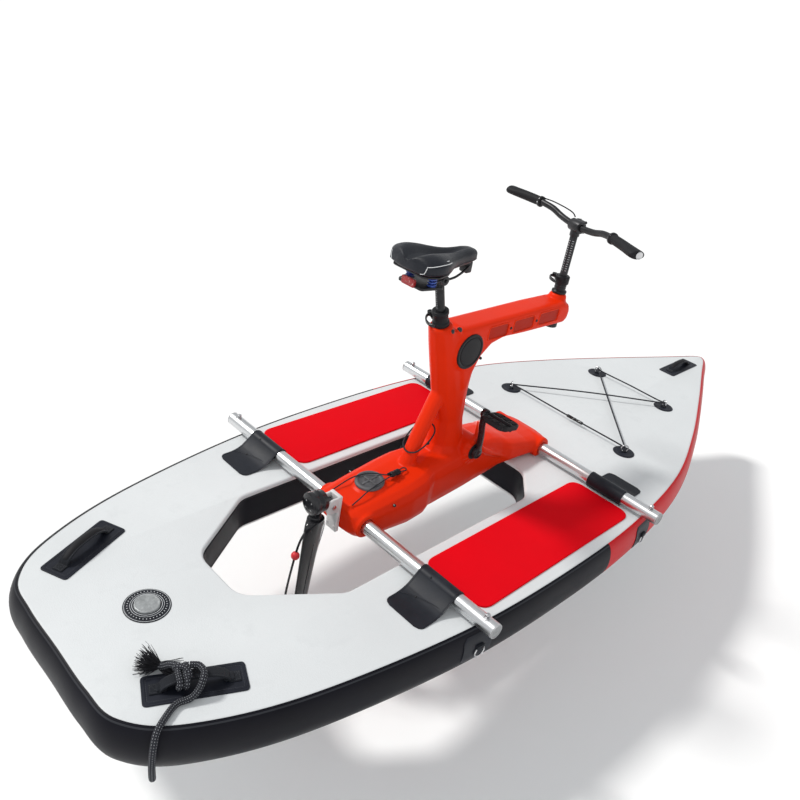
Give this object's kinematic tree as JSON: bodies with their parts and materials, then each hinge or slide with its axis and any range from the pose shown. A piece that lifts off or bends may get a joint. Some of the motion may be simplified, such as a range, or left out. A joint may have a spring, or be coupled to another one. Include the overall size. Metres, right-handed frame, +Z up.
{
  "type": "inflatable water bike",
  "caption": "Pedal-driven water bike: an inflatable board with a central well, an upright moulded frame with saddle, cranks and handlebar, and a steered propeller leg",
  "frame": {"origin": "on the underside of the board, on the centre plane, midway between the two cross tubes; the board floats, and the drive leg hangs below it", "axes": "+X to the bow, +Y to port, +Z up; metres"},
  "size_m": [3.3579, 1.2286, 1.3855],
  "materials": {
    "deck_white": "matte",
    "rail_black": "satin",
    "rail_red": "satin",
    "pad_red": "matte",
    "aluminium": "satin",
    "moulded_red": "satin",
    "black_plastic": "satin",
    "black_metal": "satin",
    "black_rubber": "matte",
    "grey_plastic": "satin",
    "pale_plastic": "satin",
    "silver_plastic": "satin",
    "reflector_red": "gloss",
    "spring_blue": "satin",
    "rope_black": "matte"
  },
  "bodies": {
    "hull": {"hull_board": "deck_white", "rail_strip_bow": "rail_red", "rail_strip_stern": "rail_black", "well_lining": "rail_black", "foot_pad_port": "pad_red", "foot_pad_starboard": "pad_red", "cross_tube_front": "aluminium", "cross_tube_rear": "aluminium", "handle_bow": "black_rubber", "handle_stern_port": "black_rubber", "handle_stern_starboard": "black_rubber", "valve_collar": "black_rubber", "bungee_cord": "rope_black", "frame_body": "moulded_red", "column_disc_port": "black_plastic", "column_disc_starboard": "black_plastic", "seat_collar": "black_plastic", "leg_bracket": "pale_plastic", "rope_knot": "rope_black", "rope": "rope_black", "lift_cord": "rope_black", "cord_toggle": "black_plastic", "strut_loop": "rope_black", "sleeve_front_port": "black_rubber", "sleeve_front_starboard": "black_rubber", "sleeve_rear_port": "black_rubber", "sleeve_rear_starboard": "black_rubber", "tube_plug_front_port": "black_plastic", "tube_plug_front_starboard": "black_plastic", "tube_plug_rear_port": "black_plastic", "tube_plug_rear_starboard": "black_plastic", "bungee_patch_aft_port": "black_rubber", "bungee_patch_aft_starboard": "black_rubber", "bungee_patch_fore_port": "black_rubber", "bungee_patch_fore_starboard": "black_rubber"},
    "valve_cap": {"valve_cap": "silver_plastic"},
    "hatch": {"hatch_cover": "grey_plastic"},
    "seat_lever": {"seat_lever": "black_metal"},
    "seat_post": {"seat_post": "black_metal"},
    "saddle": {"saddle_frame": "black_metal", "saddle_cushion": "black_rubber", "saddle_spring_port": "spring_blue", "saddle_spring_starboard": "spring_blue", "saddle_reflector": "reflector_red"},
    "stem": {"stem_tube": "black_metal", "stem_collar": "black_plastic"},
    "stem_lever": {"stem_lever": "black_metal"},
    "stem_post": {"stem_post": "black_metal", "stem_head": "black_metal"},
    "bar": {"handlebar": "black_metal", "grip_port": "black_rubber", "grip_starboard": "black_rubber", "bar_cable": "black_rubber"},
    "cranks": {"crank_starboard": "black_metal", "crank_port": "black_metal"},
    "pedal_starboard": {"pedal_starboard": "black_plastic"},
    "pedal_port": {"pedal_port": "black_plastic"},
    "leg_head": {"leg_head": "black_plastic"},
    "drive_leg": {"drive_leg": "black_plastic"},
    "propeller": {"propeller": "black_plastic"}
  },
  "joints": [
    {"name": "crank_spin", "type": "hinge", "parent": "hull", "child": "cranks", "pos_m": [0.043, 0, 0.265], "axis": [0, 1, 0], "continuous": true},
    {"name": "pedal_starboard_spin", "type": "hinge", "parent": "cranks", "child": "pedal_starboard", "pos_m": [0.03473, 0, 0.42278], "axis": [0, 1, 0], "continuous": true},
    {"name": "pedal_port_spin", "type": "hinge", "parent": "cranks", "child": "pedal_port", "pos_m": [0.05127, 0, 0.10722], "axis": [0, 1, 0], "continuous": true},
    {"name": "leg_kick", "type": "hinge", "parent": "hull", "child": "leg_head", "pos_m": [-0.5085, 0, 0.214], "axis": [0, 1, 0], "range_deg": [0, 33]},
    {"name": "leg_steer", "type": "hinge", "parent": "leg_head", "child": "drive_leg", "pos_m": [-0.557, 0, 0.24], "axis": [0, 0, 1], "range_deg": [-56, 24]},
    {"name": "prop_spin", "type": "hinge", "parent": "drive_leg", "child": "propeller", "pos_m": [-0.65396, -0.0278, -0.265], "axis": [0.9613, 0.2756, 0], "continuous": true},
    {"name": "steer", "type": "hinge", "parent": "hull", "child": "stem", "pos_m": [0.45, 0, 0.7], "axis": [0, 0, 1], "range_deg": [-24, 56]},
    {"name": "stem_lever_turn", "type": "hinge", "parent": "stem", "child": "stem_lever", "pos_m": [0.46171, 0.04085, 0.778], "axis": [0, 0, -1], "range_deg": [0, 150]},
    {"name": "stem_post_slide", "type": "slide", "parent": "stem", "child": "stem_post", "axis": [0, 0, 1], "range_m": [-0.07, 0.04]},
    {"name": "bar_roll", "type": "hinge", "parent": "stem_post", "child": "bar", "pos_m": [0.45, 0, 0.974], "axis": [0.2756, 0.9613, 0], "range_deg": [-20, 20]},
    {"name": "seat_post_slide", "type": "slide", "parent": "hull", "child": "seat_post", "axis": [-0.2924, 0, 0.9563], "range_m": [-0.085, 0.1]},
    {"name": "seat_lever_turn", "type": "hinge", "parent": "hull", "child": "seat_lever", "pos_m": [-0.1571, 0.0435, 0.74624], "axis": [0.2924, 0, -0.9563], "range_deg": [0, 150]},
    {"name": "saddle_tilt", "type": "hinge", "parent": "seat_post", "child": "saddle", "pos_m": [-0.1997, 0, 0.88557], "axis": [0, 1, 0], "range_deg": [-12, 12]},
    {"name": "valve_cap_turn", "type": "hinge", "parent": "hull", "child": "valve_cap", "pos_m": [-1.095, 0, 0.13], "axis": [0, 0, 1], "range_deg": [0, 90]},
    {"name": "hatch_turn", "type": "hinge", "parent": "hull", "child": "hatch", "pos_m": [-0.34671, 0, 0.2322], "axis": [-0.1219, 0, 0.9925], "range_deg": [0, 90]}
  ],
  "couplings": [
    {"joint": "leg_steer", "follows": "steer", "ratio": -1},
    {"joint": "prop_spin", "follows": "crank_spin", "ratio": 7.5}
  ]
}
